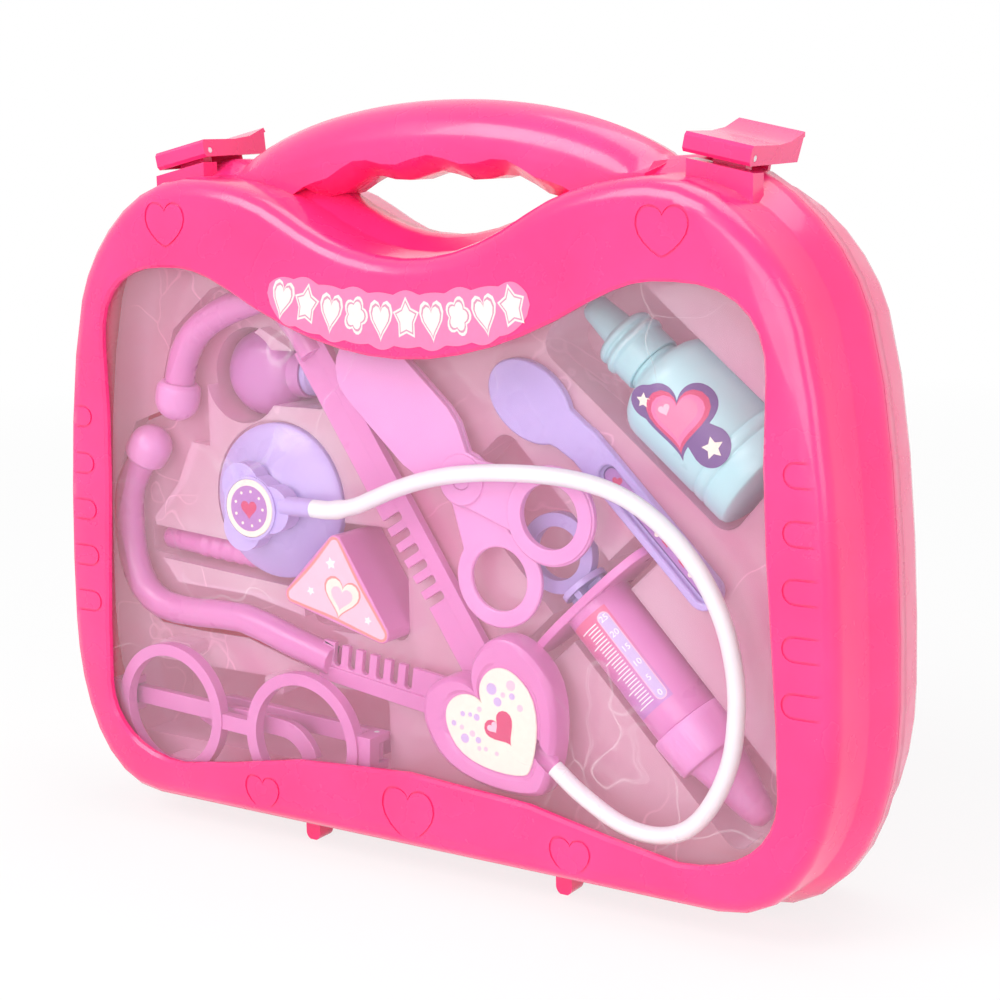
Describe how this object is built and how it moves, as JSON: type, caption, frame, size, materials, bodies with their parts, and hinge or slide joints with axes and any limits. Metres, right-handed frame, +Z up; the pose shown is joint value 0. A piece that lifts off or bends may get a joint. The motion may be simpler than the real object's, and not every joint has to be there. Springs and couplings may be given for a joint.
{
  "type": "toy doctor case",
  "caption": "Hinged pink carrying case with a window, latches, a handle and a clear tray of toy medical instruments with working pivots and a syringe plunger.",
  "frame": {"origin": "centre of the closed case's box at the floor, under the plane where the two shells meet", "axes": "+X to the right seen from the window, -Y towards the viewer, out of the window, +Z up to the handle"},
  "size_m": [0.293, 0.064, 0.2376],
  "materials": {
    "shell_pink": "glossy hot pink moulded plastic",
    "window_clear": "clear flexible window film",
    "tray_clear": "clear thermoformed sheet",
    "pin_white": "plain pins",
    "orchid": "orchid pink moulded plastic",
    "rose": "rose pink moulded plastic",
    "lilac": "lilac moulded plastic",
    "aqua": "pale blue moulded plastic",
    "white_tube": "soft white tube",
    "label": "printed face of the part",
    "cream": "cream and pink moulded plastic"
  },
  "bodies": {
    "case": {"rear_shell": "shell_pink", "blister_tray": "tray_clear", "hinge_pin_left": "pin_white", "hinge_pin_right": "pin_white", "stethoscope_hub": "orchid", "hub_plate": "label", "headset_arm_upper": "orchid", "headset_arm_lower": "orchid", "ear_tip_upper": "rose", "ear_tip_lower": "rose", "stethoscope_tube": "white_tube", "chest_bell": "lilac", "chest_diaphragm": "lilac", "chest_knob": "lilac", "chest_plate": "label", "scissors_front": "rose", "scissors_rivet": "rose", "tongue_depressor": "lilac", "bottle_body": "aqua", "bottle_cap": "aqua", "bottle_nozzle": "aqua", "syringe_barrel": "orchid", "syringe_tip": "rose", "glasses_front": "orchid", "temple_pin_left": "pin_white", "temple_pin_right": "pin_white", "hammer_head": "cream", "hammer_handle": "orchid", "otoscope_head": "orchid", "otoscope_cone": "lilac"},
    "lid": {"front_shell": "shell_pink", "window_film": "window_clear", "latch_pin_left": "pin_white", "latch_pin_right": "pin_white"},
    "latch_lever_left": {"latch_left": "shell_pink"},
    "latch_lever_right": {"latch_right": "shell_pink"},
    "scissors_half": {"scissors_back": "rose"},
    "plunger": {"syringe_plunger": "lilac", "plunger_seal": "pin_white"},
    "left_temple": {"temple_left": "orchid"},
    "right_temple": {"temple_right": "orchid"}
  },
  "joints": [
    {"name": "lid_hinge", "type": "hinge", "parent": "case", "child": "lid", "pos_m": [0, 0, 0.0029], "axis": [1, 0, 0], "range_deg": [0, 180]},
    {"name": "latch_left_pivot", "type": "hinge", "parent": "lid", "child": "latch_lever_left", "pos_m": [-0.09657, -0.0117, 0.22138], "axis": [0.9781, 0, 0.2079], "range_deg": [0, 90]},
    {"name": "latch_right_pivot", "type": "hinge", "parent": "lid", "child": "latch_lever_right", "pos_m": [0.09657, -0.0117, 0.22138], "axis": [0.9781, 0, -0.2079], "range_deg": [0, 90]},
    {"name": "scissors_pivot", "type": "hinge", "parent": "case", "child": "scissors_half", "pos_m": [0.0158, -0.01905, 0.1255], "axis": [0, 1, 0], "range_deg": [0, 30]},
    {"name": "plunger_slide", "type": "slide", "parent": "case", "child": "plunger", "axis": [-0.6884, 0, 0.7254], "range_m": [0, 0.024]},
    {"name": "temple_left_hinge", "type": "hinge", "parent": "case", "child": "left_temple", "pos_m": [-0.12664, -0.0168, 0.03905], "axis": [0.0471, 0, 0.9989], "range_deg": [0, 4]},
    {"name": "temple_right_hinge", "type": "hinge", "parent": "case", "child": "right_temple", "pos_m": [-0.02276, -0.0168, 0.03415], "axis": [-0.0471, 0, -0.9989], "range_deg": [0, 12]}
  ]
}
